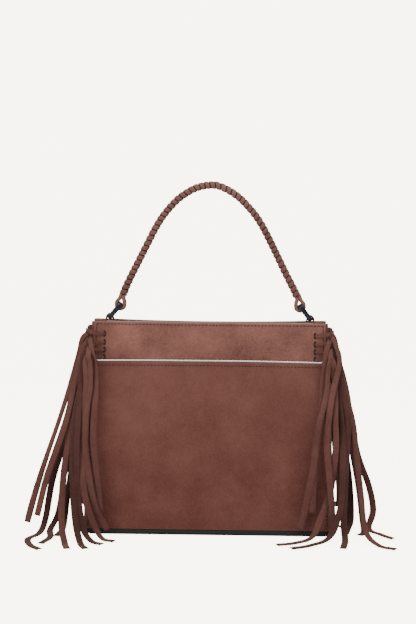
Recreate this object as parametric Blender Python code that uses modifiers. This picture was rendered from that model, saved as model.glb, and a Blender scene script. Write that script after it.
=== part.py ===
"""A soft suede handbag with laced fringes on both sides and a lace-wrapped handle.

Metres, +Z up, the front towards -Y. The origin is on the floor under the middle of the bag.
"""

import math

import bmesh
import bpy
from mathutils import Vector

MM = 0.001

# The bag's body: a flat base, a pinched rim, and a front and back that lean inwards.
RIM_Z = 0.237
RIM_SAG = 0.0015
HALF_WIDTH_TOP = 0.1315
HALF_WIDTH_BASE = 0.138
HALF_DEPTH_MIDDLE = 0.008
HALF_DEPTH_ENDS = 0.017
HALF_DEPTH_BASE = 0.052
BELLY = 1.15

# Leather and cloth thicknesses, and the gap kept between pieces.
SUEDE = 0.0018
GUSSET_SUEDE = 0.0016
FACING = 0.0012
CLOTH = 0.0008
GAP = 0.0004

BASE_HEIGHT = 0.0056
BASE_OVERHANG = 0.003
BASE_CORNER = 0.012
BASE_EDGE = 0.0012
BOARD_HEIGHT = 0.0022
BOARD_MIDDLE_Z = 0.0078
BOARD_INSET = 0.006
LINING_FLOOR = 0.0096
LINING_GAP = 0.0006
LINING_END_GAP = 0.0036
PANEL_BOTTOM = 0.0062
POCKET_TOP = 0.1925
TRIM_HEIGHT = 0.0028
TRIM_DEPTH = 0.0022
TRIM_GAP = 0.0003
FACING_HEIGHT = 0.026
FACING_RISE = 0.0006

# The side gussets: a lap behind each panel, a bulge, and a fold inwards at the top.
LAP = 0.012
BULGE_TOP = 0.007
BULGE_BASE = 0.004
DIP = 0.006
LAP_SPAN = 0.35
FOLD = 0.031
FOLD_START_Z = 0.165

# The magnetic snap inside the mouth.
SNAP_Z = 0.222
SNAP_RADIUS = 0.008
SNAP_SOCKET = 0.0022
SNAP_STUD = 0.0026
SNAP_GAP = 0.0008

# The handle and its rings.
RING_LOWER = (0.1155, 0.240)
RING_UPPER = (0.103, 0.2555)
RING_HALF_DEPTH = 0.0075
RING_CORNER = 0.003
RING_WIRE = 0.0016
LOOP_RADIUS = 0.0030
LOOP_HALF_WIDTH = 0.0042
TAB_NECKS = ((0.1116, 0.2355), (0.1147, 0.2352))
TAB_INNER = ((0.1104, 0.222), (0.1106, 0.231))
TAB_OUTER = ((0.1134, 0.232), (0.1126, 0.222))
END_LOOP_NECKS = ((0.1001, 0.2638), (0.1026, 0.2648))
END_LOOP_THICKNESS = 0.0015
CORE_RADIUS = 0.0021
WRAP_RADIUS = 0.0034
WRAP_THICKNESS = 0.0014
HANDLE_ARCH_MM = (
    (-101.4, 262.5), (-96.5, 276), (-89.5, 291), (-82.5, 305), (-72, 326), (-64, 342),
    (-55.5, 356), (-45.5, 368.5), (-34.5, 379), (-17.5, 389), (1, 392.5), (15, 389),
    (30, 380), (41, 369.5), (51, 358), (60, 344), (70, 325), (79, 307), (87.5, 290),
    (95.5, 275), (101.2, 262.5),
)

# The laces: strips that the plain cords here stand in for, with the same cross-section area.
LACE_RADIUS = 0.0017
LACE_STEP = 0.013
LACE_STAND = 0.0030
HOLE_X = 0.121
KNOT_Z = (0.223, 0.2135, 0.205, 0.1965)

# Each tail's route in millimetres, from its knot to its tip: outwards, depth (front is
# negative), height. The names give the side, the seam, the knot from the top and the tail.
ROUTES = {
    "left_front_0a": (
        (132.5, -35, 207), (129, -35, 192), (127, -38, 178), (127, -41, 163), (128, -45, 140),
        (129, -49, 115), (127.5, -53, 92), (123, -58, 61), (119, -63, 30),
    ),
    "left_front_0b": (
        (145, -19, 217), (149, -18, 200), (159, -22, 163), (171, -31, 123), (182, -39, 89),
        (193, -47, 52), (203, -55, 13),
    ),
    "left_front_1a": (
        (136, -38, 200), (134, -38, 192), (133.5, -39, 180), (133.5, -42, 163), (137, -45, 139),
        (138, -49, 106), (136, -52, 83), (131, -58, 55), (123, -63, 28), (111, -68, 9),
    ),
    "left_front_1b": (
        (143.5, -22, 207), (147.5, -23, 192), (153.5, -29, 163), (161, -38, 127), (171, -46, 95),
        (182, -53, 61), (191, -60, 22),
    ),
    "left_front_2a": (
        (139.5, -35.5, 194), (139, -37.5, 180), (139, -39, 163), (143, -42, 130), (142.5, -48, 95),
        (139.5, -58, 58), (131, -69, 28), (117, -81, 5), (102, -89, 3),
    ),
    "left_front_2b": (
        (142.5, -30.5, 200), (144, -31, 188), (145, -35, 172), (146.5, -44, 130), (147.5, -51, 95),
        (145.5, -60, 50), (138, -77, 16), (127, -91, 4), (114, -100, 3),
    ),
    "left_front_3a": (
        (139.5, -29.5, 183), (142, -31.5, 172), (147, -34, 157), (151.5, -39, 130), (153, -45, 95),
        (151, -58, 55), (146, -76, 22), (138, -98, 4), (130, -116, 3),
    ),
    "left_front_3b": (
        (143, -25.5, 192), (145.5, -25.5, 178), (149.5, -28, 160), (156, -34, 130), (160, -41, 95),
        (163, -54, 55), (161, -77, 18), (155, -98, 4), (150, -117, 3),
    ),
    "left_back_0a": (
        (131.8, 36.4, 207), (129, 35, 192), (127, 38, 178), (127, 41, 163), (126, 47, 140),
        (126, 52, 95), (123, 58, 61), (120, 62, 32),
    ),
    "left_back_0b": (
        (145, 19, 217), (149, 17, 200), (157, 10, 150), (168, -3, 95), (180, -18, 50),
        (185, -36, 13), (188, -60, 3), (197, -84, 3), (191, -106, 3), (179, -120, 3),
    ),
    "left_back_1a": (
        (136, 38, 200), (134, 38, 192), (133.5, 39, 180), (133, 43, 163), (132, 48, 140),
        (132, 55, 95), (131, 61, 50), (127, 67, 14),
    ),
    "left_back_1b": (
        (143.5, 22, 207), (147.5, 22, 192), (151, 20, 150), (159, 12, 95), (169, -4, 50),
        (173, -22, 14), (178, -48, 3), (174, -76, 3), (181, -100, 3),
    ),
    "left_back_2a": (
        (139.5, 35.5, 194), (139, 37.5, 180), (138.5, 41, 163), (138, 47, 139), (140, 54, 95),
        (143, 60, 50), (147, 68, 9), (142, 86, 3), (129, 98, 3),
    ),
    "left_back_2b": (
        (142.5, 30.5, 200), (144, 31, 188), (145, 36, 172), (145, 42, 150), (149, 45, 95),
        (152, 46, 50), (154, 46, 12), (152, 60, 3), (150, 76, 3),
    ),
    "left_back_3a": (
        (139.5, 29.5, 183), (142, 31.5, 172), (147, 33, 157), (149, 36, 130), (151, 36, 95),
        (153, 33, 50), (154, 31, 16),
    ),
    "left_back_3b": (
        (143, 25.5, 192), (145.5, 25.5, 178), (150, 27.5, 160), (153, 27, 130), (157, 20, 95),
        (163, 8, 50), (166, -10, 12), (165, -36, 3), (165, -56, 3), (168, -72, 3),
    ),
    "right_front_0a": (
        (131, -35, 207), (130, -35.5, 192), (128, -37, 178), (127, -41, 155), (124, -46, 125),
        (119, -52, 89), (118, -57, 61), (117, -61, 29),
    ),
    "right_front_0b": (
        (143, -26, 213), (146.5, -32.5, 199), (144, -37.5, 183), (138, -44, 160), (135, -47, 139),
        (132.5, -50, 106), (135, -59, 72), (138, -66, 40), (140, -68, 16),
    ),
    "right_front_1a": (
        (136, -36, 200), (134, -37, 190), (133, -39.5, 178), (131, -45, 159), (122, -52, 120),
        (117, -57, 78), (109, -61, 35), (103, -63, 10),
    ),
    "right_front_1b": (
        (147, -18, 204), (149.5, -17, 190), (153, -19, 178), (158, -21, 155), (162, -25, 127),
        (171, -26, 86), (184, -25, 52), (190, -24, 23), (184, -34, 5), (195, -54, 4),
        (207, -66, 3),
    ),
    "right_front_2a": (
        (139.5, -35.5, 194), (139.5, -34, 184), (141.5, -36, 168), (142, -41, 150),
        (142, -46, 130), (143, -49, 105), (140, -54, 72), (136, -58, 50), (127, -66, 27),
        (116, -76, 7), (97, -86, 3), (76, -94, 3),
    ),
    "right_front_2b": (
        (143, -29, 200), (148, -27.5, 186), (150.5, -33.5, 168), (154, -38, 148), (157, -41, 127),
        (156, -46, 95), (154, -54, 55), (152, -64, 20), (152, -80, 5), (147, -104, 3),
    ),
    "right_front_3a": (
        (140, -29.5, 183), (145.5, -31, 170), (148, -38, 145), (151, -45, 110), (150, -60, 65),
        (146, -74, 35), (134, -86, 10), (113, -97, 4), (91, -106, 3),
    ),
    "right_front_3b": (
        (142.5, -23, 189), (147, -25, 178), (154, -30, 160), (163, -36, 127), (168, -39, 86),
        (173, -48, 45), (176, -68, 12), (187, -92, 3.5), (204, -104, 3),
    ),
    "right_back_0a": (
        (132.5, 35, 207), (129, 35, 192), (127, 38, 178), (126, 42, 155), (124, 48, 125),
        (122, 54, 89), (121, 60, 55), (119, 63, 26),
    ),
    "right_back_0b": (
        (145, 19, 217), (149, 17, 200), (157, 10, 150), (166, 1, 95), (174, -8, 50),
        (178, -22, 14), (178, -40, 3), (171, -55, 3),
    ),
    "right_back_1a": (
        (136, 38, 200), (134, 38, 192), (133.5, 39, 180), (133, 43, 163), (132, 48, 140),
        (134, 55, 95), (135, 63, 50), (134, 72, 9), (122, 88, 3), (110, 96, 3),
    ),
    "right_back_1b": (
        (143.5, 22, 207), (147.5, 22, 192), (152, 20, 150), (159, 13, 95), (165, 2, 50),
        (166, -13, 12), (160, -33, 3), (156, -50, 3),
    ),
    "right_back_2a": (
        (139.5, 35.5, 194), (139, 37.5, 180), (139, 41, 163), (139, 47, 139), (142, 54, 95),
        (146, 60, 50), (150, 64, 16),
    ),
    "right_back_2b": (
        (142.5, 30.5, 200), (144, 31, 188), (145, 36, 172), (146, 42, 150), (151, 45, 95),
        (156, 47, 50), (159, 50, 12), (158, 66, 3), (160, 84, 3),
    ),
    "right_back_3a": (
        (139.5, 29.5, 183), (142, 31.5, 172), (147, 33, 157), (151, 36, 130), (155, 36, 95),
        (159, 34, 50), (161, 31, 16),
    ),
    "right_back_3b": (
        (143, 25.5, 192), (145.5, 25.5, 178), (150, 27.5, 160), (154, 28, 130), (158, 24, 95),
        (162, 14, 50), (164, 2, 12), (160, -14, 3), (150, -22, 3),
    ),
}


def material(name, colour, roughness, metallic=0.0):
    made = bpy.data.materials.new(name)
    made.use_nodes = True
    shader = made.node_tree.nodes["Principled BSDF"]
    shader.inputs["Base Color"].default_value = (*colour, 1.0)
    shader.inputs["Roughness"].default_value = roughness
    shader.inputs["Metallic"].default_value = metallic
    return made


def clear_scene():
    for obj in list(bpy.data.objects):
        bpy.data.objects.remove(obj, do_unlink=True)
    bag = bpy.data.collections.new("fringed_suede_bag")
    cutters = bpy.data.collections.new("cutters")
    cutters.hide_render = True
    bpy.context.scene.collection.children.link(bag)
    bpy.context.scene.collection.children.link(cutters)
    return bag


def place(obj, name, look, collection):
    """Names an object, gives it its own material and moves it into a collection."""
    obj.name = name
    obj.data.name = name
    obj.data.materials.clear()
    obj.data.materials.append(material(name, *look))
    for old in list(obj.users_collection):
        old.objects.unlink(obj)
    collection.objects.link(obj)
    return obj


def solidify(obj, thickness):
    shell = obj.modifiers.new("thickness", "SOLIDIFY")
    shell.thickness = thickness
    shell.offset = 0.0


def bevel(obj, width, segments=2):
    edge = obj.modifiers.new("edge", "BEVEL")
    edge.width = width
    edge.segments = segments
    edge.limit_method = "ANGLE"


def smooth(obj):
    obj.data.shade_smooth()
    obj.data.set_sharp_from_angle(angle=math.radians(50))


def half_width(z):
    return HALF_WIDTH_BASE + (HALF_WIDTH_TOP - HALF_WIDTH_BASE) * z / RIM_Z


def face_depth(x, z):
    """How far the front's outer surface stands from the middle plane at a width and height."""
    end = min(1.0, abs(x) / half_width(z)) ** 2
    top = HALF_DEPTH_MIDDLE + (HALF_DEPTH_ENDS - HALF_DEPTH_MIDDLE) * end
    down = min(1.0, max(0.0, 1 - z / RIM_Z))
    return top + (HALF_DEPTH_BASE - top) * (1 - (1 - down) ** BELLY)


def rim_height(x):
    return RIM_Z - RIM_SAG * (1 - min(1.0, abs(x) / HALF_WIDTH_TOP) ** 2)


def smoothstep(t):
    t = min(1.0, max(0.0, t))
    return t * t * (3 - 2 * t)


def side_reach(v, z):
    """How far the gusset stands from the middle; v runs from -1 at the front to 1 at the back."""
    up = z / RIM_Z
    bulge = BULGE_BASE + (BULGE_TOP - BULGE_BASE) * up
    folding = max(0.0, (z - FOLD_START_Z) / (RIM_Z - FOLD_START_Z))
    middle = 1 - smoothstep((abs(v) - 0.42) / 0.5)
    bulge *= 1 - middle * min(1.0, 1.4 * folding)
    return half_width(z) + bulge * math.sin(math.pi * abs(v)) ** 0.8 - FOLD * folding * middle


def sheet(name, columns, rows, shape, thickness, look, collection):
    """A grid shaped by a function of (-1 to 1, -1 to 1), thickened about its middle surface."""
    bpy.ops.mesh.primitive_grid_add(x_subdivisions=columns, y_subdivisions=rows, size=2)
    obj = place(bpy.context.object, name, look, collection)
    for vertex in obj.data.vertices:
        vertex.co = shape(vertex.co.x, vertex.co.y)
    solidify(obj, thickness)
    smooth(obj)
    return obj


def panel(name, side, inset, bottom, top, thickness, look, collection, rows=9, trim=0.0):
    """A front (side -1) or back (side 1) panel whose middle surface lies inset from the face."""
    def shape(u, v):
        up = (v + 1) / 2
        x = u * (half_width(bottom) + (half_width(top) - half_width(bottom)) * up - trim)
        head = rim_height(x) if top >= RIM_Z else top
        z = bottom + (head - bottom + max(0.0, top - RIM_Z)) * up
        return x, side * (face_depth(x, z) - inset), z

    return sheet(name, 12, rows, shape, thickness, look, collection)


SUEDE_LOOK = ((0.17, 0.075, 0.055), 0.9)
BLACK_LOOK = ((0.012, 0.010, 0.010), 0.45)


def make_panels(bag):
    panel("front_panel", -1, SUEDE / 2, PANEL_BOTTOM, RIM_Z, SUEDE, SUEDE_LOOK, bag)
    panel("back_panel", 1, SUEDE / 2, PANEL_BOTTOM, RIM_Z, SUEDE, SUEDE_LOOK, bag)
    pocket = -(SUEDE / 2 + GAP)
    panel("front_pocket_panel", -1, pocket, PANEL_BOTTOM, POCKET_TOP, SUEDE, SUEDE_LOOK, bag, 7)
    facing = SUEDE + GAP + FACING / 2
    for name, side in (("facing_front", -1), ("facing_back", 1)):
        panel(
            name, side, facing, RIM_Z - FACING_HEIGHT, RIM_Z + FACING_RISE, FACING,
            ((0.36, 0.29, 0.28), 0.5), bag, 2, LAP + 0.002,
        )


def make_trim(bag):
    bottom = POCKET_TOP + TRIM_GAP
    centre = -(SUEDE / 2 + GAP + TRIM_GAP)
    trim = panel(
        "pocket_trim", -1, centre, bottom, bottom + TRIM_HEIGHT, TRIM_DEPTH - 0.0006,
        ((0.85, 0.84, 0.83), 0.2, 1.0), bag, 2, 0.002,
    )
    bevel(trim, 0.0006, 1)


def make_gusset(name, side, bag):
    """A strip round the bag's end: lap, side, lap, its middle surface just inside the panels."""
    inset = SUEDE + GAP + GUSSET_SUEDE / 2

    def shape(u, v):
        up = (v + 1) / 2
        along = u * (1 + LAP_SPAN)
        across = max(-1.0, min(1.0, along))
        top = rim_height(HALF_WIDTH_TOP) - DIP * (1 - smoothstep(abs(across)))
        z = PANEL_BOTTOM + (top - PANEL_BOTTOM) * up
        lap = max(0.0, abs(along) - 1) / LAP_SPAN * LAP
        x = side_reach(across, z) - lap
        y = across * (face_depth(half_width(z), z) - inset)
        if lap:
            y = math.copysign(face_depth(x, z) - inset, across)
        return side * x, y, z

    sheet(name, 26, 9, shape, GUSSET_SUEDE, SUEDE_LOOK, bag)


def make_base(bag):
    bpy.ops.mesh.primitive_cube_add(size=1, location=(0, 0, BASE_HEIGHT / 2))
    base = place(bpy.context.object, "base_panel", BLACK_LOOK, bag)
    half_x = HALF_WIDTH_BASE + BASE_OVERHANG
    half_y = HALF_DEPTH_BASE + BASE_OVERHANG
    base.data.transform(
        ((2 * half_x, 0, 0, 0), (0, 2 * half_y, 0, 0), (0, 0, BASE_HEIGHT, 0), (0, 0, 0, 1))
    )
    rounded = bmesh.new()
    rounded.from_mesh(base.data)
    uprights = [
        e for e in rounded.edges if abs(e.verts[0].co.z - e.verts[1].co.z) > BASE_HEIGHT / 2
    ]
    bmesh.ops.bevel(
        rounded, geom=uprights, offset=BASE_CORNER, segments=4, profile=0.5, affect="EDGES"
    )
    rounded.to_mesh(base.data)
    rounded.free()
    bevel(base, BASE_EDGE, 2)

    bpy.ops.mesh.primitive_cube_add(size=1, location=(0, 0, BOARD_MIDDLE_Z))
    board = place(bpy.context.object, "base_board", ((0.30, 0.24, 0.18), 0.8), bag)
    board.scale = (
        2 * (HALF_WIDTH_BASE - BOARD_INSET), 2 * (HALF_DEPTH_BASE - BOARD_INSET), BOARD_HEIGHT
    )


def make_lining(bag):
    """An open-topped tub of cloth that follows the panels and the gussets."""
    inset = SUEDE + GAP + GUSSET_SUEDE + LINING_GAP + CLOTH / 2
    floor, top = LINING_FLOOR, RIM_Z - FACING_HEIGHT - 2 * LINING_GAP
    tub = bmesh.new()
    bmesh.ops.create_cube(tub, size=2)
    bmesh.ops.subdivide_edges(tub, edges=tub.edges[:], cuts=5, use_grid_fill=True)
    lids = [f for f in tub.faces if all(v.co.z > 0.999 for v in f.verts)]
    bmesh.ops.delete(tub, geom=lids, context="FACES")
    for vertex in tub.verts:
        u, v, w = vertex.co
        z = floor + (top - floor) * (w + 1) / 2
        x = u * (side_reach(0, z) - LINING_END_GAP)
        vertex.co = (x, v * (face_depth(x, z) - inset), z)
    data = bpy.data.meshes.new("lining")
    tub.to_mesh(data)
    tub.free()
    obj = bpy.data.objects.new("lining", data)
    bag.objects.link(obj)
    place(obj, "lining", ((0.10, 0.07, 0.06), 0.85), bag)
    solidify(obj, CLOTH)
    smooth(obj)


def make_snap(bag):
    """A magnetic snap: a disc on each facing, tilted with it, and a raised stud on one."""
    z, step = SNAP_Z, 0.005
    lean = math.atan((face_depth(0, z - step) - face_depth(0, z + step)) / (2 * step))
    surface = face_depth(0, z) - SUEDE - GAP - FACING
    metal = ((0.55, 0.55, 0.56), 0.3, 1.0)
    for name, side, thick in (("snap_socket", -1, SNAP_SOCKET), ("snap_stud", 1, SNAP_STUD)):
        y = side * (surface - thick / 2 - SNAP_GAP)
        bpy.ops.mesh.primitive_cylinder_add(
            vertices=20, radius=SNAP_RADIUS, depth=thick, location=(0, y, z),
            rotation=(math.pi / 2 + side * lean, 0, 0),
        )
        disc = place(bpy.context.object, name, metal, bag)
        bevel(disc, 0.0005, 1)


def smooth_line(points, step):
    """Points spaced about a step apart along a Catmull-Rom curve through the given ones."""
    points = [Vector(p) for p in points]
    ends = [2 * points[0] - points[1], *points, 2 * points[-1] - points[-2]]
    fine = []
    for a, b, c, d in zip(ends, ends[1:], ends[2:], ends[3:]):
        for i in range(24):
            t = i / 24
            fine.append(
                0.5 * (2 * b + (c - a) * t + (2 * a - 5 * b + 4 * c - d) * t * t
                       + (3 * b - a - 3 * c + d) * t ** 3)
            )
    fine.append(points[-1])
    lengths = [0.0]
    for a, b in zip(fine, fine[1:]):
        lengths.append(lengths[-1] + (b - a).length)
    count = max(3, round(lengths[-1] / step))
    line, at = [], 0
    for i in range(count + 1):
        goal = lengths[-1] * i / count
        while at < len(fine) - 2 and lengths[at + 1] < goal:
            at += 1
        part = (goal - lengths[at]) / max(1e-9, lengths[at + 1] - lengths[at])
        line.append(fine[at].lerp(fine[at + 1], min(1.0, max(0.0, part))))
    return line


def path_curve(name, points, look, collection, cyclic=False):
    data = bpy.data.curves.new(name, "CURVE")
    data.dimensions = "3D"
    spline = data.splines.new("POLY")
    spline.points.add(len(points) - 1)
    for point, where in zip(spline.points, points):
        point.co = (*where, 1.0)
    spline.use_cyclic_u = cyclic
    obj = bpy.data.objects.new(name, data)
    collection.objects.link(obj)
    return place(obj, name, look, collection)


def tube(name, points, radius, look, collection, resolution=2, cyclic=False, caps=True):
    obj = path_curve(name, points, look, collection, cyclic)
    obj.data.bevel_depth = radius
    obj.data.bevel_resolution = resolution
    obj.data.use_fill_caps = caps
    return obj


def as_mesh(obj, collection):
    """The curve object as a mesh object of the same name, with its caps welded."""
    graph = bpy.context.evaluated_depsgraph_get()
    data = bpy.data.meshes.new_from_object(obj.evaluated_get(graph))
    welded = bmesh.new()
    welded.from_mesh(data)
    bmesh.ops.remove_doubles(welded, verts=welded.verts[:], dist=1e-6)
    bmesh.ops.recalc_face_normals(welded, faces=welded.faces[:])
    welded.to_mesh(data)
    welded.free()
    name, where = obj.name, obj.matrix_world.copy()
    bpy.data.objects.remove(obj, do_unlink=True)
    made = bpy.data.objects.new(name, data)
    made.matrix_world = where
    collection.objects.link(made)
    return made


def strip_loop(name, outline, half_width_y, thickness, look, collection):
    """A strip whose edge-on outline lies in the XZ plane, extruded sideways and thickened."""
    strip = bmesh.new()
    rows = [
        [strip.verts.new((x, y, z)) for x, z in outline] for y in (-half_width_y, half_width_y)
    ]
    for i in range(len(outline) - 1):
        strip.faces.new((rows[0][i], rows[0][i + 1], rows[1][i + 1], rows[1][i]))
    data = bpy.data.meshes.new(name)
    strip.to_mesh(data)
    strip.free()
    made = bpy.data.objects.new(name, data)
    collection.objects.link(made)
    place(made, name, look, collection)
    solidify(made, thickness)
    return made


def teardrop(centre, neck_a, neck_b, radius, tail_a=(), tail_b=()):
    """An outline from neck a round a bar and back to neck b, as (x, z) points."""
    cx, cz = centre
    start = math.atan2(neck_a[1] - cz, neck_a[0] - cx)
    end = math.atan2(neck_b[1] - cz, neck_b[0] - cx)
    lead = math.radians(62)
    sweep = (end - lead) - (start + lead)
    while sweep < math.pi * 0.6:
        sweep += 2 * math.pi
    round_bar = [
        (cx + radius * math.cos(start + lead + sweep * i / 8),
         cz + radius * math.sin(start + lead + sweep * i / 8))
        for i in range(9)
    ]
    return [*tail_a, neck_a, *round_bar, neck_b, *tail_b]


def ring_outline(side):
    """A rounded oblong in the plane of the Y axis and the line between the ring's two bars."""
    lower = Vector((side * RING_LOWER[0], 0, RING_LOWER[1]))
    upper = Vector((side * RING_UPPER[0], 0, RING_UPPER[1]))
    along = (upper - lower) / 2
    middle = (upper + lower) / 2
    half_length = along.length
    along.normalize()
    depth = Vector((0, 1, 0))
    points = []
    for quarter, (su, sv) in enumerate(((1, 1), (-1, 1), (-1, -1), (1, -1))):
        for i in range(4):
            angle = math.pi / 2 * (quarter + i / 3)
            u = su * (half_length - RING_CORNER) + RING_CORNER * math.cos(angle)
            v = sv * (RING_HALF_DEPTH - RING_CORNER) + RING_CORNER * math.sin(angle)
            points.append(middle + along * u + depth * v)
    return points


def make_rings_and_tabs(bag):
    gunmetal = ((0.05, 0.055, 0.07), 0.3, 1.0)
    for name, side in (("left", -1), ("right", 1)):
        tube(f"ring_{name}", ring_outline(side), RING_WIRE, gunmetal, bag, 2, True)
        outline = teardrop(RING_LOWER, *TAB_NECKS, LOOP_RADIUS, TAB_INNER, TAB_OUTER)
        mirrored = [(side * x, z) for x, z in outline]
        strip_loop(f"ring_tab_{name}", mirrored, LOOP_HALF_WIDTH, FACING, SUEDE_LOOK, bag)


def make_handle(bag):
    arch = smooth_line([(x * MM, 0, z * MM) for x, z in HANDLE_ARCH_MM], 0.016)
    core = tube("handle_strap", arch, CORE_RADIUS, SUEDE_LOOK, bag)
    strap = as_mesh(core, bag)
    place(strap, "handle_strap", SUEDE_LOOK, bag)
    for name, side in (("left", -1), ("right", 1)):
        outline = teardrop(RING_UPPER, *END_LOOP_NECKS, LOOP_RADIUS)
        loop = strip_loop(
            f"end_loop_{name}", [(side * x, z) for x, z in outline], LOOP_HALF_WIDTH,
            END_LOOP_THICKNESS, SUEDE_LOOK, bag,
        )
        solid = as_mesh(loop, bag)
        for old in list(solid.users_collection):
            old.objects.unlink(solid)
        bpy.data.collections["cutters"].objects.link(solid)
        solid.hide_render = True
        solid.display_type = "WIRE"
        union = strap.modifiers.new(f"loop_{name}", "BOOLEAN")
        union.operation = "UNION"
        union.object = solid
    sleeve_line = arch[1:-1]
    sleeve = tube("handle_lacing", sleeve_line, WRAP_RADIUS, SUEDE_LOOK, bag, caps=False)
    wrap = as_mesh(sleeve, bag)
    place(wrap, "handle_lacing", SUEDE_LOOK, bag)
    solidify(wrap, WRAP_THICKNESS)
    smooth(wrap)


def knot_line(side, seam, knot):
    """The stretch of a lace round the seam: from one tail's start in to the hole and out again."""
    z = KNOT_Z[knot]
    edge = half_width(z)
    near = seam * (face_depth(HOLE_X, z) + LACE_RADIUS + LACE_STAND)
    far = seam * (face_depth(edge, z) + LACE_RADIUS + LACE_STAND)
    return [
        (side * (edge + 0.004), far + seam * 0.0034, z - 0.0032),
        (side * (HOLE_X + 0.002), near, z - 0.0017),
        (side * (HOLE_X + 0.002), near, z + 0.0016),
        (side * (edge + 0.006), far - seam * 0.001, z + 0.0012),
    ]


def make_laces(bag):
    for side, side_name in ((-1, "left"), (1, "right")):
        for seam, seam_name in ((-1, "front"), (1, "back")):
            for knot in range(len(KNOT_Z)):
                tails = []
                for tail in "ab":
                    route = ROUTES[f"{side_name}_{seam_name}_{knot}{tail}"]
                    tails.append([(side * x * MM, y * MM, z * MM) for x, y, z in route])
                first, second = tails
                middle = knot_line(side, seam, knot)
                points = smooth_line([*reversed(first), *middle, *second], LACE_STEP)
                name = f"lace_{side_name}_{seam_name}_{knot + 1}"
                tube(name, points, LACE_RADIUS, SUEDE_LOOK, bag, 0)


def main():
    bag = clear_scene()
    make_panels(bag)
    make_trim(bag)
    make_gusset("gusset_left", -1, bag)
    make_gusset("gusset_right", 1, bag)
    make_base(bag)
    make_lining(bag)
    make_snap(bag)
    make_rings_and_tabs(bag)
    make_handle(bag)
    make_laces(bag)


main()
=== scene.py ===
import bmesh
import bpy
import numpy as np
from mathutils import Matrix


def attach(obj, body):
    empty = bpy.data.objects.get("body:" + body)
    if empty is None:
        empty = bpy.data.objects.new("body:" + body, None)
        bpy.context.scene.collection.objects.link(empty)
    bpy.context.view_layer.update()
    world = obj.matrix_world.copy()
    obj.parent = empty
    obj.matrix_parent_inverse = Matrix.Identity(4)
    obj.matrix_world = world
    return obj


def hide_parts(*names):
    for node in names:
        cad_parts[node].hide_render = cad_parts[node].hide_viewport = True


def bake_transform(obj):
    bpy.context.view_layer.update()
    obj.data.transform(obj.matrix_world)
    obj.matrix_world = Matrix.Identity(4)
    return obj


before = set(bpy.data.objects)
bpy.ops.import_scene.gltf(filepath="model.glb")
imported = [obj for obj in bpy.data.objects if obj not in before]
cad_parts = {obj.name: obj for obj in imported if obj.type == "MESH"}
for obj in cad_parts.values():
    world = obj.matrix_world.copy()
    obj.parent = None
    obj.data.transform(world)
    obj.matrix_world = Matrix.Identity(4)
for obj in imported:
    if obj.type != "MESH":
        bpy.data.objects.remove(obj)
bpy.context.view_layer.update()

# The stage: the bag stands on a pale floor that curves up behind it, under a big soft light
# overhead, a softer one on the left and a weak one on the right, as in a catalogue studio.

FLOOR_COLOUR = (0.915, 0.905, 0.875)
FLOOR_GLOW, FLOOR_GLOW_STRENGTH = (1.0, 0.97, 0.80), 6.6
SKY_COLOUR, SKY_GLOW, SKY_LIGHT = (1.0, 0.99, 0.975), 6.0, 0.43
FLOOR_FRONT, FLOOR_BEND, FLOOR_BEND_SIZE, FLOOR_TOP, FLOOR_REACH = -4.0, 1.0, 1.2, 4.0, 5.0
CAMERA_PLACE = (0.0068, -1.2908, 0.380)
CAMERA_TURN = (1.4683, -0.0111, 0.0083)
CAMERA_ANGLE = 0.5400


def grid_object(name, points, faces_close_u=False, faces_close_v=False):
    """A quad mesh from an array of points (rows, columns, 3), closed round either way if asked."""
    rows, columns = points.shape[:2]
    i = np.arange(rows if faces_close_u else rows - 1)[:, None]
    j = np.arange(columns if faces_close_v else columns - 1)[None, :]
    down, right = (i + 1) % rows, (j + 1) % columns
    quads = np.stack(
        [i * columns + j, i * columns + right, down * columns + right, down * columns + j], -1
    ).reshape(-1, 4)
    mesh = bpy.data.meshes.new(name)
    mesh.from_pydata(points.reshape(-1, 3), [], quads)
    mesh.shade_smooth()
    made = bpy.data.objects.new(name, mesh)
    bpy.context.scene.collection.objects.link(made)
    return made


def face_outwards(mesh, fill_ends=False, weld=0.0):
    """Turns a closed mesh's faces out, once its doubles are merged and its ends filled if asked."""
    work = bmesh.new()
    work.from_mesh(mesh)
    if weld:
        bmesh.ops.remove_doubles(work, verts=work.verts[:], dist=weld)
    if fill_ends:
        bmesh.ops.holes_fill(work, edges=work.edges[:], sides=0)
    bmesh.ops.recalc_face_normals(work, faces=work.faces[:])
    work.to_mesh(mesh)
    work.free()


back = np.linspace(0, 1, 24) ** 1.5
sweep_y = np.concatenate([
    [FLOOR_FRONT, 0.0, FLOOR_BEND], FLOOR_BEND + FLOOR_BEND_SIZE * np.sin(back * np.pi / 2),
    [FLOOR_BEND + FLOOR_BEND_SIZE],
])
sweep_z = np.concatenate([
    [0.0, 0.0, 0.0], FLOOR_BEND_SIZE * (1 - np.cos(back * np.pi / 2)), [FLOOR_TOP],
])
floor_points = np.stack(
    [
        np.repeat([[-FLOOR_REACH, FLOOR_REACH]], len(sweep_y), 0),
        np.repeat(sweep_y[:, None], 2, 1),
        np.repeat(sweep_z[:, None], 2, 1),
    ],
    -1,
)
# The floor and the backdrop glow for the camera only, so that they light nothing.
floor = grid_object("floor", floor_points)
floor_look = bpy.data.materials.new("floor_paper")
floor_look.use_nodes = True
floor_shader = floor_look.node_tree.nodes["Principled BSDF"]
floor_shader.inputs["Base Color"].default_value = (*FLOOR_COLOUR, 1)
floor_shader.inputs["Roughness"].default_value = 0.9
floor_shader.inputs["Emission Color"].default_value = (*FLOOR_GLOW, 1)
seen = floor_look.node_tree.nodes.new("ShaderNodeLightPath")
glow = floor_look.node_tree.nodes.new("ShaderNodeMath")
glow.operation = "MULTIPLY"
glow.inputs[1].default_value = FLOOR_GLOW_STRENGTH
floor_look.node_tree.links.new(seen.outputs["Is Camera Ray"], glow.inputs[0])
floor_look.node_tree.links.new(glow.outputs[0], floor_shader.inputs["Emission Strength"])
floor.data.materials.append(floor_look)

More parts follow.
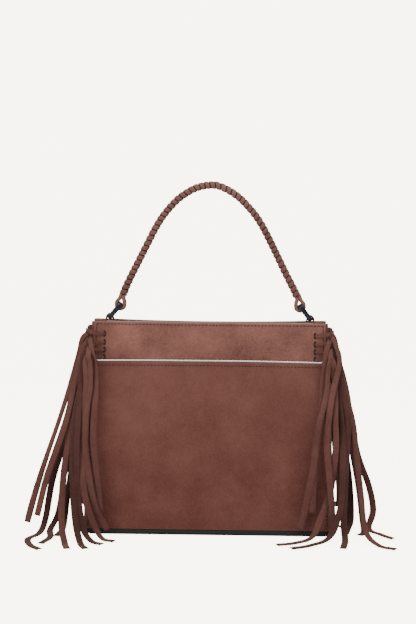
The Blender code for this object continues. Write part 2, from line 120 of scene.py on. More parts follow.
world = bpy.data.worlds.new("studio")
world.use_nodes = True
world.node_tree.nodes["Background"].inputs["Color"].default_value = (*SKY_COLOUR, 1)
sky = world.node_tree.nodes.new("ShaderNodeLightPath")
sky_glow = world.node_tree.nodes.new("ShaderNodeMath")
sky_glow.operation = "MULTIPLY_ADD"
sky_glow.inputs[1].default_value, sky_glow.inputs[2].default_value = SKY_GLOW, SKY_LIGHT
world.node_tree.links.new(sky.outputs["Is Camera Ray"], sky_glow.inputs[0])
world.node_tree.links.new(
    sky_glow.outputs[0], world.node_tree.nodes["Background"].inputs["Strength"]
)
bpy.context.scene.world = world

for light_name, size, power, place, turn in (
    ("overhead", 1.3, 26.0, (0.1, -0.5, 1.7), (0.28, 0.05, 0.0)),
    ("left_front", 1.0, 16.5, (-1.3, -1.4, 0.9), (1.05, 0.0, -0.75)),
    ("right_front", 0.9, 5.0, (1.5, -1.2, 0.7), (1.15, 0.0, 0.90)),
):
    lamp = bpy.data.lights.new(light_name, "AREA")
    lamp.size = size
    lamp.energy = power
    holder = bpy.data.objects.new(light_name, lamp)
    holder.location = place
    holder.rotation_euler = turn
    bpy.context.scene.collection.objects.link(holder)

lens = bpy.data.cameras.new("camera")
lens.sensor_fit = "VERTICAL"
lens.angle = CAMERA_ANGLE
camera = bpy.data.objects.new("camera", lens)
camera.location = CAMERA_PLACE
camera.rotation_euler = CAMERA_TURN
bpy.context.scene.collection.objects.link(camera)
bpy.context.scene.camera = camera

# The suede: brown split leather with a short nap. Its colour drifts in soft clouds where
# the nap lies differently, and it is painted lighter towards the bag's top: painted light from
# above.


def suede_look(name, deep, light, painted_light_low=0.0, painted_light_high=0.235, grain=1.0, edge=(0.20, 0.104, 0.085)):
    """Napped leather: two browns mixed by cloudy noise and by height, the height a painted light
    that lightens it upwards; fine grain in colour and bump.

    The attribute "edge", 0 to 1, brings in the cut edge's own colour."""
    look = bpy.data.materials.new(name)
    look.use_nodes = True
    nodes, links = look.node_tree.nodes, look.node_tree.links
    shader = nodes["Principled BSDF"]
    shader.inputs["Roughness"].default_value = 0.93
    shader.inputs["Specular IOR Level"].default_value = 0.18
    shader.inputs["Sheen Weight"].default_value = 0.22
    shader.inputs["Sheen Roughness"].default_value = 0.45
    shader.inputs["Sheen Tint"].default_value = (0.95, 0.62, 0.52, 1)
    where = nodes.new("ShaderNodeTexCoord")

    def noise(scale, detail, rough=0.6):
        cloud = nodes.new("ShaderNodeTexNoise")
        cloud.inputs["Scale"].default_value = scale
        cloud.inputs["Detail"].default_value = detail
        cloud.inputs["Roughness"].default_value = rough
        links.new(where.outputs["Object"], cloud.inputs["Vector"])
        return cloud.outputs["Fac"]

    def maths(kind, first, second, third=None):
        node = nodes.new("ShaderNodeMath")
        node.operation = kind
        for socket, value in zip(node.inputs, (first, second, third)):
            if value is None:
                continue
            if isinstance(value, (int, float)):
                socket.default_value = value
            else:
                links.new(value, socket)
        return node.outputs[0]

    split = nodes.new("ShaderNodeSeparateXYZ")
    links.new(where.outputs["Object"], split.inputs[0])
    # Painted light: the colour grows lighter with height over the given range, standing in for
    # light falling from above.
    rise = nodes.new("ShaderNodeMapRange")
    rise.inputs["From Min"].default_value = painted_light_low
    rise.inputs["From Max"].default_value = painted_light_high
    links.new(split.outputs["Z"], rise.inputs["Value"])
    clouds = maths("MULTIPLY_ADD", noise(22, 4), 1.5, -0.75)
    speckle = maths("MULTIPLY_ADD", noise(420, 3, 0.7), 0.9, -0.45)
    shade = maths("ADD", maths("MULTIPLY_ADD", rise.outputs[0], 0.62, 0.12), clouds)
    shade = maths("ADD", shade, maths("MULTIPLY", speckle, grain))
    browns = nodes.new("ShaderNodeValToRGB")
    browns.color_ramp.elements[0].color = (*deep, 1)
    browns.color_ramp.elements[1].color = (*light, 1)
    links.new(shade, browns.inputs["Fac"])
    cut = nodes.new("ShaderNodeAttribute")
    cut.attribute_name = "edge"
    mixed = nodes.new("ShaderNodeMix")
    mixed.data_type = "RGBA"
    links.new(cut.outputs["Fac"], mixed.inputs["Factor"])
    links.new(browns.outputs["Color"], mixed.inputs["A"])
    mixed.inputs["B"].default_value = (*edge, 1)
    links.new(mixed.outputs["Result"], shader.inputs["Base Color"])
    bump = nodes.new("ShaderNodeBump")
    bump.inputs["Strength"].default_value = 0.35 * grain
    bump.inputs["Distance"].default_value = 0.0006
    nap = maths("ADD", noise(900, 2), maths("MULTIPLY", noise(170, 3), 1.2))
    links.new(nap, bump.inputs["Height"])
    links.new(bump.outputs["Normal"], shader.inputs["Normal"])
    return look


BODY_SUEDE = suede_look("suede_body", (0.0936, 0.0297, 0.023), (0.162, 0.0648, 0.05))
# Painted light: a lighter copy of the body suede for the front panel, whose top strip is painted
# brighter as if it caught more light.
UPPER_SUEDE_PAINTED_LIGHT = suede_look(
    "suede_upper_painted_light", (0.09, 0.0324, 0.0248), (0.263, 0.115, 0.0882), 0.10, 0.29
)
STRAP_SUEDE = suede_look(
    "suede_strap", (0.070, 0.0245, 0.0193), (0.146, 0.0610, 0.0480), -0.05, 0.30, 0.8,
    (0.0432, 0.0162, 0.0135)
)
# Painted shade: a darker copy of the strap suede for the tails that sit in shade within the fringe.
STRAP_PAINTED_SHADE = suede_look(
    "suede_strap_painted_shade", (0.040, 0.0140, 0.0112), (0.086, 0.0340, 0.0270), -0.05, 0.30, 0.8,
    (0.0252, 0.009, 0.0081)
)

# The panels: front, pocket and back are cut from soft suede. The front and back lean in to a
# pinched rim, and the leather ripples a little between its seams.

RIM_Z = 0.237
RIM_SAG = 0.0015
HALF_WIDTH_TOP, HALF_WIDTH_BASE = 0.1315, 0.138
HALF_DEPTH_MIDDLE, HALF_DEPTH_ENDS, HALF_DEPTH_BASE = 0.008, 0.017, 0.052
BELLY = 1.15
SUEDE = 0.0018
GUSSET_SUEDE = 0.0016
FACING = 0.0012
LAYER_GAP = 0.0004
PANEL_BOTTOM = 0.0062
POCKET_TOP = 0.1925
RIPPLE = 0.0009
BACK_SEED = 1.9


def half_width(z):
    """Half the bag's width, straight from its base to its rim."""
    return HALF_WIDTH_BASE + (HALF_WIDTH_TOP - HALF_WIDTH_BASE) * z / RIM_Z


def face_depth(x, z):
    """The outer face's distance from the middle plane: parabolic at the rim, flat at the base."""
    ends = np.minimum(1.0, np.abs(x) / half_width(z)) ** 2
    top = HALF_DEPTH_MIDDLE + (HALF_DEPTH_ENDS - HALF_DEPTH_MIDDLE) * ends
    down = np.clip(1 - z / RIM_Z, 0.0, 1.0)
    return top + (HALF_DEPTH_BASE - top) * (1 - (1 - down) ** BELLY)


def ripple(x, z, seed=0.0):
    """Soft waves about a millimetre deep that die away at the base, the rim and the seams."""
    inside = np.clip((half_width(z) - np.abs(x)) / 0.03, 0, 1) * np.clip(z / 0.03, 0, 1)
    rim = np.clip((RIM_Z - z) / 0.02, 0.15, 1)
    wave = (
        0.5 * np.sin(23 * x + 11 * z + 0.7 + seed) + 0.35 * np.sin(41 * x - 29 * z + 2.1 + seed)
        + 0.3 * np.sin(9 * x + 47 * z + 4.0 - seed) + 0.2 * np.sin(67 * x + 13 * z + seed)
    )
    return RIPPLE * inside * rim * wave


def rim_height(x):
    """The rim's height, which sags a little in the middle."""
    return RIM_Z - RIM_SAG * (1 - np.minimum(1.0, np.abs(x) / HALF_WIDTH_TOP) ** 2)


def eased(count, crowd=0.35):
    """Positions from -1 to 1 that crowd towards both ends, so that edges round off smoothly."""
    t = np.linspace(-1, 1, count)
    return (1 - crowd) * t + crowd * np.sin(t * np.pi / 2)


def shell_object(name, outer, inner, look):
    """A closed skin between two grids of points, with a rounded edge and the attribute "edge"."""
    rows, columns = outer.shape[:2]
    lattice = np.arange(rows * columns).reshape(rows, columns)
    round_edge = np.concatenate(
        [lattice[0, :-1], lattice[:-1, -1], lattice[-1, :0:-1], lattice[:0:-1, 0]]
    )
    flat_outer, flat_inner = outer.reshape(-1, 3), inner.reshape(-1, 3)
    middle = (flat_outer[round_edge] + flat_inner[round_edge]) / 2
    total = rows * columns
    quads = np.stack(
        [lattice[:-1, :-1], lattice[:-1, 1:], lattice[1:, 1:], lattice[1:, :-1]], -1
    ).reshape(-1, 4)
    belt = np.arange(len(round_edge))
    after = (belt + 1) % len(round_edge)
    faces = np.concatenate(
        [
            quads,
            quads[:, ::-1] + total,
            np.stack([round_edge, 2 * total + belt, 2 * total + after, round_edge[after]], 1),
            np.stack(
                [2 * total + belt, round_edge + total, round_edge[after] + total,
                 2 * total + after], 1
            ),
        ]
    )
    mesh = bpy.data.meshes.new(name)
    mesh.from_pydata(np.concatenate([flat_outer, flat_inner, middle]), [], faces)
    face_outwards(mesh)
    mesh.shade_smooth()
    border = np.zeros(2 * total + len(belt), np.float32)
    border[round_edge] = border[round_edge + total] = 0.6
    border[2 * total:] = 1.0
    mesh.attributes.new("edge", "FLOAT", "POINT").data.foreach_set("value", border)
    mesh.materials.append(look)
    made = bpy.data.objects.new(name, mesh)
    bpy.context.scene.collection.objects.link(made)
    return made


def panel_points(side, stand, bottom, top, across=120, up=96, trim=0.0, seed=0.0, over=0.0):
    """A face of the bag as a grid of points, standing a distance out from the outer surface."""
    u, v = eased(across)[None, :], (eased(up)[:, None] + 1) / 2
    x = u * (half_width(bottom) + (half_width(min(top, RIM_Z)) - half_width(bottom)) * v - trim)
    head = rim_height(x) + over if top >= RIM_Z else top
    z = bottom + (head - bottom) * v + 0 * x
    depth = face_depth(x, z) + stand + ripple(x, z, seed)
    return np.stack([x, side * depth, z], -1)


def panel_object(name, side, stand, thick, bottom, top, look, **shape):
    """A panel of one thickness whose outer face stands out by a given distance."""
    outer = panel_points(side, stand, bottom, top, **shape)
    inner = panel_points(side, stand - thick, bottom, top, **shape)
    return shell_object(name, outer, inner, look)


front = panel_object("front_panel_suede", -1, 0.0, SUEDE, PANEL_BOTTOM, RIM_Z, UPPER_SUEDE_PAINTED_LIGHT)
pocket = panel_object(
    "front_pocket_suede", -1, SUEDE + LAYER_GAP, SUEDE, PANEL_BOTTOM, POCKET_TOP, BODY_SUEDE
)
rear = panel_object(
    "back_panel_suede", 1, 0.0, SUEDE, PANEL_BOTTOM, RIM_Z, BODY_SUEDE, seed=BACK_SEED
)
for piece, node in ((front, "front_panel"), (pocket, "front_pocket_panel"), (rear, "back_panel")):
    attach(piece, "bag")
    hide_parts(node)

# The facings: a strip of smooth pale leather inside the rim, front and back, that shows as a
# thin light line above the rim at the bag's ends, partly its own pale tone and partly a painted
# highlight.

FACING_HEIGHT, FACING_RISE, FACING_INSET = 0.026, 0.0006, 0.002
LAP = 0.012
# Partly painted highlight: the facing's pale colour and paler cut edge are the leather's own
# lighter tone, brightened further to stand for the light it catches along the rim.
FACING_PALE_AND_SHEEN_LOOK = suede_look(
    "facing_leather", (0.18, 0.099, 0.0828), (0.306, 0.18, 0.153), 0.20, 0.25, 0.3,
    (0.36, 0.234, 0.198),
)
for name, side, node in (("facing_front_leather", -1, "facing_front"),
                         ("facing_back_leather", 1, "facing_back")):
    strip = panel_object(
        name, side, -SUEDE - LAYER_GAP, FACING, RIM_Z - FACING_HEIGHT, RIM_Z, FACING_PALE_AND_SHEEN_LOOK,
        up=14, trim=LAP + FACING_INSET, over=FACING_RISE, seed=0.0 if side < 0 else BACK_SEED,
    )
    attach(strip, "bag")
    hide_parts(node)

# The pocket trim: a polished metal strip pinched over the pocket's top edge, from just inside
# one side seam to just inside the other.

TRIM_HEIGHT, TRIM_DEPTH, TRIM_GAP, TRIM_END_GAP = 0.0015, 0.0026, 0.0003, 0.002


def plain_look(name, colour, roughness, metallic=0.0, noise_scale=300, vary=0.12, bump=0.1):
    """A finish with faint uneven roughness and colour from one fine noise."""
    look = bpy.data.materials.new(name)
    look.use_nodes = True
    nodes, links = look.node_tree.nodes, look.node_tree.links
    shader = nodes["Principled BSDF"]
    shader.inputs["Metallic"].default_value = metallic
    where = nodes.new("ShaderNodeTexCoord")
    cloud = nodes.new("ShaderNodeTexNoise")
    cloud.inputs["Scale"].default_value = noise_scale
    cloud.inputs["Detail"].default_value = 4
    links.new(where.outputs["Object"], cloud.inputs["Vector"])
    spread = nodes.new("ShaderNodeMapRange")
    spread.inputs["To Min"].default_value = max(0.02, roughness - vary)
    spread.inputs["To Max"].default_value = min(1.0, roughness + vary)
    links.new(cloud.outputs["Fac"], spread.inputs["Value"])
    links.new(spread.outputs[0], shader.inputs["Roughness"])
    tones = nodes.new("ShaderNodeValToRGB")
    tones.color_ramp.elements[0].color = (*(c * (1 - vary) for c in colour), 1)
    tones.color_ramp.elements[1].color = (*(min(1, c * (1 + vary)) for c in colour), 1)
    links.new(cloud.outputs["Fac"], tones.inputs["Fac"])
    links.new(tones.outputs["Color"], shader.inputs["Base Color"])
    dents = nodes.new("ShaderNodeBump")
    dents.inputs["Strength"].default_value = bump
    dents.inputs["Distance"].default_value = 0.0003
    links.new(cloud.outputs["Fac"], dents.inputs["Height"])
    links.new(dents.outputs["Normal"], shader.inputs["Normal"])
    return look


BRIGHT_METAL = plain_look("polished_metal", (0.88, 0.87, 0.86), 0.22, 1.0, 60, 0.06, 0.03)


def bar_along(name, line, normal, half_high, half_deep, look, corner=4):
    """A rounded bar: a soft-cornered box section carried along a line, with closed ends."""
    angles = np.linspace(0, 2 * np.pi, 8 * corner, endpoint=False)
    cos, sin = np.cos(angles), np.sin(angles)
    section_u = np.sign(cos) * np.abs(cos) ** 0.45 * half_deep
    section_v = np.sign(sin) * np.abs(sin) ** 0.45 * half_high
    along = np.gradient(line, axis=0)
    along /= np.linalg.norm(along, axis=1, keepdims=True)
    out = normal - along * (normal * along).sum(1, keepdims=True)
    out /= np.linalg.norm(out, axis=1, keepdims=True)
    up = np.cross(along, out)
    taper = np.ones(len(line))
    taper[0] = taper[-1] = 0.02
    rings = line[:, None] + taper[:, None, None] * (
        section_u[None, :, None] * out[:, None] + section_v[None, :, None] * up[:, None]
    )
    made = grid_object(name, rings, faces_close_v=True)
    face_outwards(made.data, fill_ends=True)
    made.data.shade_smooth()
    made.data.materials.append(look)
    return made


def front_line(z, reach, stand, count=160):
    """Points across the front at one height, standing out from the front's outer surface."""
    x = np.linspace(-reach, reach, count)
    x[[0, -1]] = x[[1, -2]] + [-0.0003, 0.0003]
    height = np.full(count, z) if z < RIM_Z else rim_height(x)
    return np.stack([x, -(face_depth(x, height) + stand + ripple(x, height)), height], 1)


trim_z = POCKET_TOP + TRIM_GAP + TRIM_HEIGHT / 2
trim_line = front_line(
    trim_z, half_width(trim_z) - TRIM_END_GAP, SUEDE / 2 + LAYER_GAP + TRIM_GAP
)
trim = bar_along(
    "pocket_trim_metal", trim_line, np.tile([0.0, -1.0, 0.0], (len(trim_line), 1)),
    TRIM_HEIGHT / 2, TRIM_DEPTH / 2, BRIGHT_METAL,
)
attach(trim, "bag")
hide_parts("pocket_trim")

# The gussets: suede sides that lap behind the panels, bulge out past their raw edges and fold
# inwards at the top, where the ring tabs are sewn.

BULGE_TOP, BULGE_BASE = 0.007, 0.004
FOLD, FOLD_START_Z, FOLD_DIP = 0.031, 0.165, 0.006
LAP_SPAN = 0.35
CREASE = 0.0007


def smoothstep(t):
    """A smooth ramp from 0 to 1."""
    t = np.clip(t, 0, 1)
    return t * t * (3 - 2 * t)


def side_reach(v, z):
    """The gusset's distance from the bag's middle: the panel's edge, a bulge, less the fold."""
    folding = np.maximum(0.0, (z - FOLD_START_Z) / (RIM_Z - FOLD_START_Z))
    middle = 1 - smoothstep((np.abs(v) - 0.42) / 0.5)
    bulge = BULGE_BASE + (BULGE_TOP - BULGE_BASE) * z / RIM_Z
    bulge = bulge * (1 - middle * np.minimum(1.0, 1.4 * folding))
    arch = np.maximum(0, np.sin(np.pi * np.abs(v))) ** 0.8
    return half_width(z) + bulge * arch - FOLD * folding * middle


def gusset_points(side, thick):
    """The gusset's grid: lap, side, lap across, and base to rim up, moved in by a thickness."""
    along = np.linspace(-1 - LAP_SPAN, 1 + LAP_SPAN, 131)[None, :]
    up = (eased(90)[:, None] + 1) / 2
    across = np.clip(along, -1, 1)
    top = RIM_Z - FOLD_DIP * (1 - smoothstep(np.abs(across)))
    z = PANEL_BOTTOM + (top - PANEL_BOTTOM) * up
    lap = np.maximum(0, np.abs(along) - 1) / LAP_SPAN * LAP
    inset = SUEDE + LAYER_GAP + GUSSET_SUEDE / 2
    crease = CREASE * np.sin(52 * z + 3 * across) * np.sin(np.pi * np.abs(across)) ** 2
    x = side_reach(across, z) - lap + crease * (lap == 0)
    y = across * (face_depth(half_width(z), z) - inset)
    y = np.where(lap > 0, np.sign(across) * (face_depth(x, z) - inset), y)
    points = np.stack([x + 0 * z, y + 0 * z, z + 0 * x], -1)
    slope_v, slope_u = np.gradient(points, axis=(0, 1))
    normal = np.cross(slope_v, slope_u)
    normal /= np.linalg.norm(normal, axis=-1, keepdims=True) + 1e-12
    normal *= np.sign((normal * (points * [1, 1, 0])).sum(-1, keepdims=True) + 1e-12)
    points = points + normal * thick
    return points * [side, 1, 1]


for name, side, node in (("gusset_left_suede", -1, "gusset_left"),
                         ("gusset_right_suede", 1, "gusset_right")):
    gusset = shell_object(
        name, gusset_points(side, GUSSET_SUEDE / 2), gusset_points(side, -GUSSET_SUEDE / 2),
        BODY_SUEDE,
    )
    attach(gusset, "bag")
    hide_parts(node)

# The base, the board and the lining: smooth black leather over a stiff board, glued up inside
# a plain woven tub. Only the black edge shows from outside.

BASE_HEIGHT, BASE_OVERHANG, BASE_CORNER, BASE_EDGE = 0.0056, 0.003, 0.012, 0.0016
BLACK_LEATHER = plain_look("black_leather", (0.0035, 0.0028, 0.0026), 0.85, 0.0, 700, 0.10, 0.35)
CORNERS = ((0, 1, 1), (np.pi / 2, -1, 1), (np.pi, -1, -1), (3 * np.pi / 2, 1, -1))
corner_turn = np.linspace(0, np.pi / 2, 17)
corner_x = HALF_WIDTH_BASE + BASE_OVERHANG - BASE_CORNER
corner_y = HALF_DEPTH_BASE + BASE_OVERHANG - BASE_CORNER
outline = np.concatenate([
    np.stack([
        sx * corner_x + BASE_CORNER * np.cos(corner_turn + q),
        sy * corner_y + BASE_CORNER * np.sin(corner_turn + q),
    ], 1)
    for q, sx, sy in CORNERS
])
edge_angle = np.linspace(-np.pi / 2, np.pi / 2, 11)
edge_in = BASE_EDGE * (1 - np.cos(edge_angle))
edge_up = BASE_HEIGHT / 2 * (1 + np.sign(edge_angle) * np.abs(np.sin(edge_angle)) ** 0.7)
base_rings = np.stack([
    np.stack([
        outline[:, 0] * (1 - inset / HALF_WIDTH_BASE),
        outline[:, 1] * (1 - inset / HALF_DEPTH_BASE), np.full(len(outline), height),
    ], 1)
    for inset, height in zip(edge_in, edge_up)
])
base = grid_object("base_leather", base_rings, faces_close_v=True)
face_outwards(base.data, fill_ends=True)
base.data.set_sharp_from_angle(angle=0.9)
base.data.materials.append(BLACK_LEATHER)
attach(base, "bag")
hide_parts("base_panel")

CLOTH_LOOK = plain_look("lining_cloth", (0.055, 0.036, 0.031), 0.85, 0.0, 1500, 0.12, 0.5)
BOARD_LOOK = plain_look("board", (0.30, 0.23, 0.17), 0.85, 0.0, 400, 0.12, 0.3)
SNAP_METAL = plain_look("snap_metal", (0.52, 0.52, 0.53), 0.32, 1.0, 200, 0.08, 0.05)
for node, look in (("lining", CLOTH_LOOK), ("base_board", BOARD_LOOK),
                   ("snap_socket", SNAP_METAL), ("snap_stud", SNAP_METAL)):
    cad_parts[node].material_slots[0].material = look

# The stitches: dark waxed thread, one lockstitch row under the rim, one under the pocket's
# metal strip, and one down each side seam, each stitch a short bead pulled into the suede.

THREAD = plain_look("dark_thread", (0.008, 0.004, 0.004), 0.6, 0.0, 900, 0.1, 0.3)
STITCH_PITCH, STITCH_LENGTH, STITCH_RADIUS = 0.0040, 0.0028, 0.00062
SEAM_PITCH, SEAM_LENGTH = 0.0036, 0.0027
STITCH_STAND = 0.0001


def resampled(line, step):
    """Points an even step apart along a polyline, with their unit directions."""
    gaps = np.linalg.norm(np.diff(line, axis=0), axis=1)
    reach = np.concatenate([[0], np.cumsum(gaps)])
    spots = np.linspace(0, reach[-1], max(2, int(round(reach[-1] / step)) + 1))
    points = np.stack([np.interp(spots, reach, line[:, k]) for k in range(3)], 1)
    along = np.gradient(points, axis=0)
    return points, along / np.linalg.norm(along, axis=1, keepdims=True)


def stitch_row(name, line, pitch=STITCH_PITCH, length=STITCH_LENGTH):
    """A row of spindle-shaped stitches: six-sided rings whose radius swells as a half sine."""
    places, along = resampled(line, pitch)
    side = np.cross(along, [0.31, 0.12, 0.94])
    side /= np.linalg.norm(side, axis=1, keepdims=True)
    other = np.cross(along, side)
    t = np.array([-1, -0.8, 0, 0.8, 1.0])
    swell = np.sqrt(1 - t ** 2) * 0.75 + 0.25 * (np.abs(t) < 1)
    turn = np.linspace(0, 2 * np.pi, 6, endpoint=False)
    circle = np.cos(turn)[:, None, None] * side + np.sin(turn)[:, None, None] * other
    rings = (
        places[:, None, None] + along[:, None, None] * t[None, :, None, None] * length / 2
        + circle.transpose(1, 0, 2)[:, None] * swell[None, :, None, None] * STITCH_RADIUS
    )
    count, steps, sides = rings.shape[:3]
    i, j = np.arange(steps - 1)[:, None], np.arange(sides)[None, :]
    right = (j + 1) % sides
    one = np.stack(
        [i * sides + j, i * sides + right, (i + 1) * sides + right, (i + 1) * sides + j], -1
    ).reshape(-1, 4)
    faces = (one[None] + (np.arange(count) * steps * sides)[:, None, None]).reshape(-1, 4)
    mesh = bpy.data.meshes.new(name)
    mesh.from_pydata(rings.reshape(-1, 3), [], faces)
    face_outwards(mesh, weld=1e-6)
    mesh.shade_smooth()
    mesh.materials.append(THREAD)
    made = bpy.data.objects.new(name, mesh)
    bpy.context.scene.collection.objects.link(made)
    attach(made, "bag")


RIM_ROW_DROP, RIM_ROW_INSET = 0.0026, 0.004
POCKET_ROW_DROP, POCKET_ROW_INSET = 0.0044, 0.002
SEAM_ROW_INSET, SEAM_ROW_BOTTOM, SEAM_ROW_GAP = 0.0030, 0.012, 0.006
rim_reach = half_width(RIM_Z) - RIM_ROW_INSET
rim_x = np.linspace(-rim_reach, rim_reach, 200)
rim_row_z = rim_height(rim_x) - RIM_ROW_DROP
for name, side, seed in (("rim_stitches_front", -1, 0.0), ("rim_stitches_back", 1, BACK_SEED)):
    depth = face_depth(rim_x, rim_row_z) + ripple(rim_x, rim_row_z, seed) + STITCH_STAND
    stitch_row(name, np.stack([rim_x, side * depth, rim_row_z], 1))
pocket_row_z = POCKET_TOP - POCKET_ROW_DROP
pocket_stand = SUEDE + LAYER_GAP + STITCH_STAND
pocket_reach = half_width(pocket_row_z) - POCKET_ROW_INSET
stitch_row("pocket_stitches", front_line(pocket_row_z, pocket_reach, pocket_stand)[1:-1])
for side_name, side in (("left", -1), ("right", 1)):
    for face_name, face, seed in (("front", -1, 0.0), ("back", 1, BACK_SEED)):
        seam_bottom = POCKET_TOP + SEAM_ROW_GAP if face < 0 else SEAM_ROW_BOTTOM
        z = np.linspace(seam_bottom, RIM_Z - RIM_ROW_INSET, 60)
        x = half_width(z) - SEAM_ROW_INSET
        depth = face_depth(x, z) + ripple(x, z, seed) + STITCH_STAND
        stitch_row(
            f"seam_stitches_{face_name}_{side_name}",
            np.stack([side * x, face * depth, z], 1), SEAM_PITCH, SEAM_LENGTH,
        )
z = np.linspace(SEAM_ROW_BOTTOM, POCKET_TOP - SEAM_ROW_GAP, 60)
x = half_width(z) - SEAM_ROW_INSET
for side_name, side in (("left", -1), ("right", 1)):
    depth = face_depth(x, z) + ripple(x, z) + pocket_stand
    stitch_row(
        f"pocket_seam_stitches_{side_name}",
        np.stack([side * x, -depth, z], 1), SEAM_PITCH, SEAM_LENGTH,
    )

# The rings: dark gunmetal, a flat-sided section bent to a small oblong, and the suede tabs
# that hold them, each a strip folded round the ring's lower bar and sewn in the fold.

RING_LOWER, RING_UPPER = (0.1155, 0.240), (0.103, 0.2555)
RING_HALF_DEPTH, RING_CORNER = 0.0075, 0.003
RING_HALF_WIDE, RING_HALF_THICK = 0.0029, 0.0014
TAB_HALF_WIDTH, TAB_THICK, TAB_FIXED_Z, TAB_FREE_Z = 0.0045, 0.0018, 0.231, 0.239
STRIP_STEP = 0.0006
GUNMETAL = plain_look("gunmetal", (0.030, 0.033, 0.046), 0.30, 0.9, 150, 0.08, 0.05)


def closed_tube(name, line, half_u, half_v, look, plane, squareness=0.6, sides=20):
    """A soft-cornered section carried round a closed line; plane is the line's own normal."""
    along = np.roll(line, -1, 0) - np.roll(line, 1, 0)
    along /= np.linalg.norm(along, axis=1, keepdims=True)
    u = np.broadcast_to(plane, line.shape)
    v = np.cross(along, u)
    turn = np.linspace(0, 2 * np.pi, sides, endpoint=False)
    cos, sin = np.cos(turn), np.sin(turn)
    a = np.sign(cos) * np.abs(cos) ** squareness * half_u
    b = np.sign(sin) * np.abs(sin) ** squareness * half_v
    rings = line[:, None] + a[None, :, None] * u[:, None] + b[None, :, None] * v[:, None]
    made = grid_object(name, rings, True, True)
    face_outwards(made.data)
    made.data.shade_smooth()
    made.data.materials.append(look)
    return made


def strip_object(name, line, across, thick, look, crown=0.0, sides=16):
    """A strip with rounded edges: a flat section carried along a line.

    across holds, for each point, the vector from the strip's middle to its edge. The section
    is a squashed oblong, bowed by crown so that the edges curl back."""
    along = np.gradient(line, axis=0)
    along /= np.linalg.norm(along, axis=1, keepdims=True)
    out = np.cross(across, along)
    out /= np.linalg.norm(out, axis=1, keepdims=True)
    turn = np.linspace(0, 2 * np.pi, sides, endpoint=False)
    cos, sin = np.cos(turn), np.sin(turn)
    a = np.sign(cos) * np.abs(cos) ** 0.5
    b = np.sign(sin) * np.abs(sin) ** 0.75 * thick / 2 - crown * (np.abs(cos) ** 2)
    rings = line[:, None] + a[None, :, None] * across[:, None] + b[None, :, None] * out[:, None]
    made = grid_object(name, rings, faces_close_v=True)
    edge = np.tile((np.abs(a) > 0.93).astype(np.float32) * 0.75, (len(line), 1))
    edge[[0, -1]] = 0.9
    face_outwards(made.data, fill_ends=True)
    made.data.shade_smooth()
    made.data.set_sharp_from_angle(angle=1.0)
    made.data.attributes.new("edge", "FLOAT", "POINT").data.foreach_set("value", edge.ravel())
    made.data.materials.append(look)
    return made


def smooth_line(points, step):
    """Even points along the Catmull-Rom curve through the given ones, its end tangents free."""
    points = np.asarray(points, float)
    ends = np.concatenate([2 * points[:1] - points[1:2], points, 2 * points[-1:] - points[-2:-1]])
    a, b, c, d = ends[:-3, None], ends[1:-2, None], ends[2:-1, None], ends[3:, None]
    t = np.linspace(0, 1, 24, endpoint=False)[None, :, None]
    curve = 0.5 * (2 * b + (c - a) * t + (2 * a - 5 * b + 4 * c - d) * t ** 2
                   + (3 * b - a - 3 * c + d) * t ** 3)
    return resampled(np.concatenate([curve.reshape(-1, 3), points[-1:]]), step)[0]


for side_name, side in (("left", -1), ("right", 1)):
    lower = np.array([side * RING_LOWER[0], 0, RING_LOWER[1]])
    upper = np.array([side * RING_UPPER[0], 0, RING_UPPER[1]])
    half_length = np.linalg.norm(upper - lower) / 2
    lengthwise = (upper - lower) / 2 / half_length
    quarter = np.linspace(0, np.pi / 2, 9)
    oblong = np.concatenate([
        np.stack([
            su * (half_length - RING_CORNER) + RING_CORNER * np.cos(quarter + q),
            sv * (RING_HALF_DEPTH - RING_CORNER) + RING_CORNER * np.sin(quarter + q),
        ], 1)
        for q, su, sv in CORNERS
    ])
    ring_line = (upper + lower) / 2 + oblong[:, :1] * lengthwise + oblong[:, 1:] * [0, 1, 0]
    flat_way = np.cross(lengthwise, [0, 1, 0])
    ring = closed_tube(
        f"ring_{side_name}_metal", ring_line, RING_HALF_WIDE, RING_HALF_THICK, GUNMETAL, flat_way
    )
    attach(ring, "handle")
    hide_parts(f"ring_{side_name}")
    tab_line = smooth_line(
        [(side * x, 0, z) for x, z in (
            (0.1104, 0.2225), (0.1105, 0.229), (0.1108, 0.2345), (0.1113, 0.2392),
            (0.1136, 0.2437), (0.1168, 0.2440), (0.1192, 0.2408), (0.1184, 0.2368),
            (0.1152, 0.2343), (0.1134, 0.2320), (0.1127, 0.2225),
        )], STRIP_STEP,
    )
    tab = strip_object(
        f"ring_tab_{side_name}_suede", tab_line,
        np.tile([0, TAB_HALF_WIDTH, 0], (len(tab_line), 1)), TAB_THICK, BODY_SUEDE,
    )
    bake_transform(tab)
    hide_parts(f"ring_tab_{side_name}")

# The handle: a strap whose ends split and loop round the rings, wrapped from end to end with
# one crowned suede lace whose dark edges show as a line between the turns.

HANDLE_ARCH = [
    (-0.1014, 0.2625), (-0.0965, 0.276), (-0.0895, 0.291), (-0.0825, 0.305), (-0.072, 0.326),
    (-0.064, 0.342), (-0.0555, 0.356), (-0.0455, 0.3685), (-0.0345, 0.379), (-0.0175, 0.389),
    (0.001, 0.3925), (0.015, 0.389), (0.030, 0.380), (0.041, 0.3695), (0.051, 0.358),
    (0.060, 0.344), (0.070, 0.325), (0.079, 0.307), (0.0875, 0.290), (0.0955, 0.275),
    (0.1012, 0.2625),
]
WRAP_PITCH, WRAP_RADIUS, WRAP_CROWN = 0.0062, 0.0031, 0.0014
WRAP_FROM_END, WRAP_STEP, WRAP_TIP = 0.004, 0.00045, 0.0012
WRAP_SLIP, WRAP_SLIP_FINE, WRAP_END_SWELL, WRAP_END_RUN = 0.11, 0.08, 0.10, 0.02
WRAP_NOTCH = 0.0004
LOOP_HALF_WIDTH, LOOP_THICK = 0.0046, 0.0046


